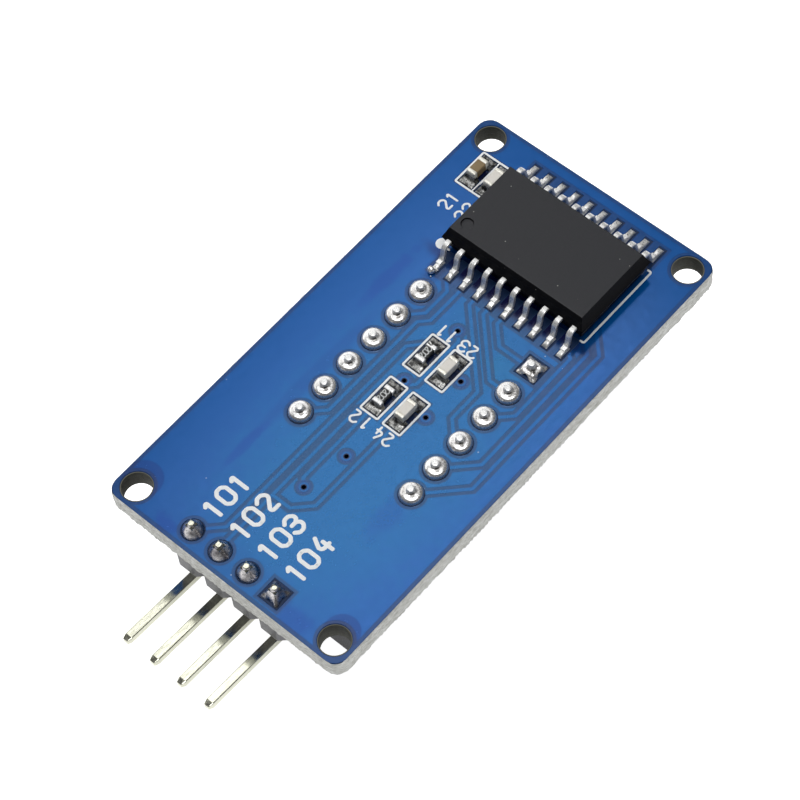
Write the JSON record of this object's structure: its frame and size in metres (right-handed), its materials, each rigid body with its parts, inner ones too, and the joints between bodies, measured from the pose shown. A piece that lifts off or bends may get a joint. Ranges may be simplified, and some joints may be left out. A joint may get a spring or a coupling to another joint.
{
  "type": "seven segment display module",
  "caption": "Seven segment display with colon on a driver board, with chip, header pins and corner mounting holes.",
  "frame": {"origin": "centre of the display's front face, which is also below the centre of its grid of pins", "axes": "+X along the board, away from the header pins and towards the driver chip; +Y across the board, towards the digits' tops; +Z from the display's front face to the chip's side of the board"},
  "size_m": [0.0465, 0.0213, 0.0113],
  "materials": {
    "laminate": "rough cut glass epoxy laminate",
    "copper": "etched copper foil",
    "solder_mask": "glossy blue mask",
    "print": "white epoxy ink",
    "display_case": "moulded black plastic",
    "face_ink": "black face film",
    "light_bar": "milky epoxy",
    "die": "bare die",
    "resin": "cast epoxy",
    "tinned_metal": "tinned",
    "solder": "solder",
    "chip_plastic": "moulding compound",
    "header_plastic": "moulded black plastic",
    "resistor_black": "black glaze on alumina",
    "capacitor_cream": "cream ceramic",
    "capacitor_brown": "brown ceramic"
  },
  "bodies": {
    "root": {"circuit_board": "laminate", "rear_copper": "copper", "hole_plating": "copper", "rear_mask": "solder_mask", "front_mask": "solder_mask", "rear_print": "print", "display_shell": "display_case", "display_face_film": "face_ink", "colon_dots": "light_bar", "display_inner_board": "laminate", "led_dies": "die", "display_resin": "resin", "display_pins_upper": "tinned_metal", "display_pins_lower": "tinned_metal", "chip_body": "chip_plastic", "chip_die": "die", "chip_die_pad": "tinned_metal", "header_housing": "header_plastic", "display_solder": "solder", "header_solder": "solder", "chip_solder": "solder", "small_part_solder": "solder", "resistor_1_body": "resistor_black", "resistor_2_body": "resistor_black", "resistor_1_ends": "tinned_metal", "resistor_2_ends": "tinned_metal", "capacitor_ends": "tinned_metal", "digit_1_segments": "light_bar", "digit_2_segments": "light_bar", "digit_3_segments": "light_bar", "digit_4_segments": "light_bar", "capacitor_1_body": "capacitor_brown", "capacitor_2_body": "capacitor_cream", "capacitor_3_body": "capacitor_cream", "capacitor_4_body": "capacitor_cream", "header_pin_1": "tinned_metal", "header_pin_2": "tinned_metal", "header_pin_3": "tinned_metal", "header_pin_4": "tinned_metal", "chip_lead_1": "tinned_metal", "chip_lead_2": "tinned_metal", "chip_lead_3": "tinned_metal", "chip_lead_4": "tinned_metal", "chip_lead_5": "tinned_metal", "chip_lead_6": "tinned_metal", "chip_lead_7": "tinned_metal", "chip_lead_8": "tinned_metal", "chip_lead_9": "tinned_metal", "chip_lead_10": "tinned_metal", "chip_lead_11": "tinned_metal", "chip_lead_12": "tinned_metal", "chip_lead_13": "tinned_metal", "chip_lead_14": "tinned_metal", "chip_lead_15": "tinned_metal", "chip_lead_16": "tinned_metal", "chip_lead_17": "tinned_metal", "chip_lead_18": "tinned_metal", "chip_lead_19": "tinned_metal", "chip_lead_20": "tinned_metal"}
  },
  "joints": []
}
